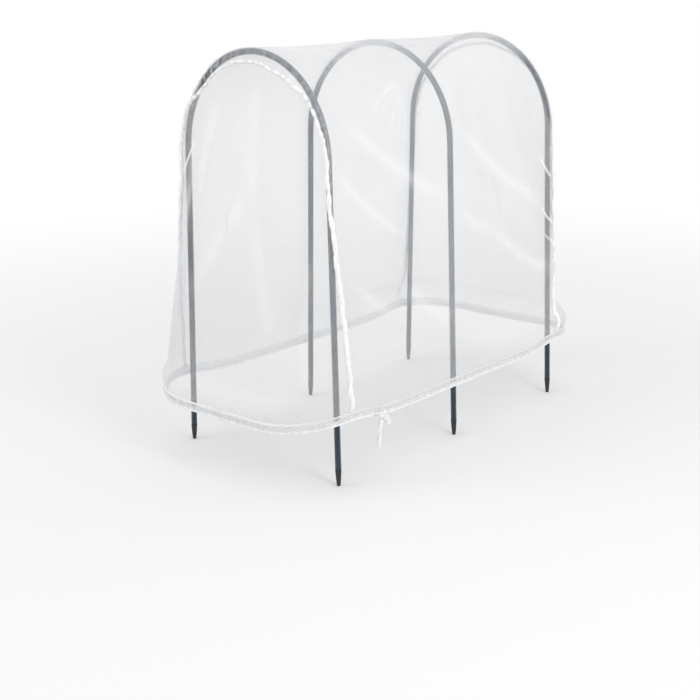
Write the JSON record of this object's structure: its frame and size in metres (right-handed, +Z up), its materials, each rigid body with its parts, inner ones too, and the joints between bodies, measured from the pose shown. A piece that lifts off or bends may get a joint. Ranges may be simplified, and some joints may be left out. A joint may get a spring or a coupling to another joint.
{
  "type": "planter insect net cover",
  "caption": "Fine insect net over arched push-in hoops, with sewn end panels and a drawcord hem that grips a planter's rim.",
  "frame": {"origin": "under the middle of the cover, at the height of the hoops' ground tips", "axes": "+X across the cover towards the side with the knot, +Y along it towards the rear end, +Z up"},
  "size_m": [0.3225, 0.6352, 0.5347],
  "materials": {
    "coated_tube": "satin dark grey-green plastic coating on thin steel tube",
    "moulded_tip": "moulded plastic",
    "insect_net": "fine white woven polyethylene net, see-through",
    "sewn_edge": "the net rolled in several layers and oversewn",
    "drawcord": "soft white braided cord"
  },
  "bodies": {
    "cover": {"net_roof": "insect_net", "front_end_net": "insect_net", "rear_end_net": "insect_net", "front_seam_binding": "sewn_edge", "rear_seam_binding": "sewn_edge", "hem_casing": "sewn_edge", "drawcord": "drawcord", "drawcord_knot": "drawcord", "drawcord_tail": "drawcord"},
    "front_hoop": {"front_hoop": "coated_tube", "front_hoop_left_tip": "moulded_tip", "front_hoop_right_tip": "moulded_tip"},
    "middle_hoop": {"middle_hoop": "coated_tube", "middle_hoop_left_tip": "moulded_tip", "middle_hoop_right_tip": "moulded_tip"},
    "rear_hoop": {"rear_hoop": "coated_tube", "rear_hoop_left_tip": "moulded_tip", "rear_hoop_right_tip": "moulded_tip"}
  },
  "joints": [
    {"name": "front_hoop_slide", "type": "slide", "parent": "cover", "child": "front_hoop", "axis": [0, 0.0103, 0.9999], "range_m": [-0.46, 0]},
    {"name": "middle_hoop_slide", "type": "slide", "parent": "cover", "child": "middle_hoop", "axis": [0, 0, 1], "range_m": [-0.46, 0]},
    {"name": "rear_hoop_slide", "type": "slide", "parent": "cover", "child": "rear_hoop", "axis": [0, -0.0103, 0.9999], "range_m": [-0.46, 0]}
  ]
}
